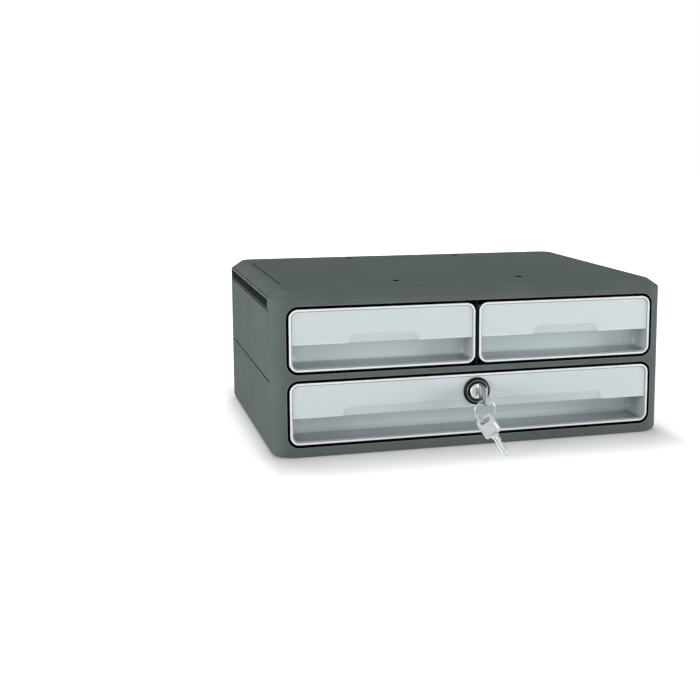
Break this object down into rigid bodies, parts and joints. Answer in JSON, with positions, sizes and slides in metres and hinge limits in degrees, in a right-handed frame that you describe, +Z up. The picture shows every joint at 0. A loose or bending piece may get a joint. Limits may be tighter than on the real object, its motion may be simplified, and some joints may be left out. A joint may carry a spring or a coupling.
{
  "type": "desktop file drawer",
  "caption": "Desktop drawer cabinet with a wide lockable lower drawer and a pair of small drawers above it, recessed finger pulls, a cam lock and keys on a ring.",
  "frame": {"origin": "under the middle of the housing, on the surface that its feet stand on", "axes": "+Z up, +X to the right and +Y to the back for someone who faces the drawers"},
  "size_m": [0.369, 0.3215, 0.146],
  "materials": {
    "housing": "fine matte texture",
    "drawer_front": "gloss",
    "tray": "satin",
    "natural_plastic": "satin",
    "dark_trim": "satin",
    "rubber": "matte",
    "steel": "zinc plated",
    "nickel": "nickel plated"
  },
  "bodies": {
    "case": {"lower_shell": "housing", "middle_shell": "housing", "top_cover": "housing", "front_frame": "housing", "shelf": "housing", "partition": "housing", "grip_strip_left": "dark_trim", "grip_strip_right": "dark_trim", "glide_rails": "natural_plastic", "shell_screws": "steel", "frame_screws": "steel", "rubber_feet": "rubber", "lock_keeper": "steel", "keeper_screws": "steel"},
    "upper_left_drawer": {"upper_left_front": "drawer_front", "upper_left_tray": "tray", "upper_left_screws": "steel"},
    "upper_right_drawer": {"upper_right_front": "drawer_front", "upper_right_tray": "tray", "upper_right_screws": "steel"},
    "lower_drawer": {"lower_front": "drawer_front", "lower_tray": "tray", "lower_screws": "steel", "lock_bezel": "dark_trim", "lock_barrel": "nickel", "lock_nut": "steel"},
    "plug": {"lock_plug": "nickel", "lock_cam": "steel", "cam_screw": "steel"},
    "inserted_key": {"key_in_lock": "nickel"},
    "ring": {"key_ring": "nickel"},
    "spare": {"spare_key": "nickel"}
  },
  "joints": [
    {"name": "upper_left_slide", "type": "slide", "parent": "case", "child": "upper_left_drawer", "axis": [0, -1, 0], "range_m": [0, 0.19]},
    {"name": "upper_right_slide", "type": "slide", "parent": "case", "child": "upper_right_drawer", "axis": [0, -1, 0], "range_m": [0, 0.19]},
    {"name": "lower_slide", "type": "slide", "parent": "case", "child": "lower_drawer", "axis": [0, -1, 0], "range_m": [0, 0.19]},
    {"name": "lock_turn", "type": "hinge", "parent": "lower_drawer", "child": "plug", "pos_m": [0, -0.14, 0.05015], "axis": [0, -1, 0], "range_deg": [0, 90]},
    {"name": "key_pull", "type": "slide", "parent": "plug", "child": "inserted_key", "axis": [0, -1, 0], "range_m": [0, 0.0168]},
    {"name": "ring_swing", "type": "hinge", "parent": "inserted_key", "child": "ring", "pos_m": [0, -0.1601, 0.0464], "axis": [-0.9962, -0.0872, 0], "range_deg": [0, 60]},
    {"name": "spare_swing", "type": "hinge", "parent": "ring", "child": "spare", "pos_m": [0, -0.1601, 0.0271], "axis": [-0.9962, -0.0872, 0], "range_deg": [0, 40]}
  ]
}
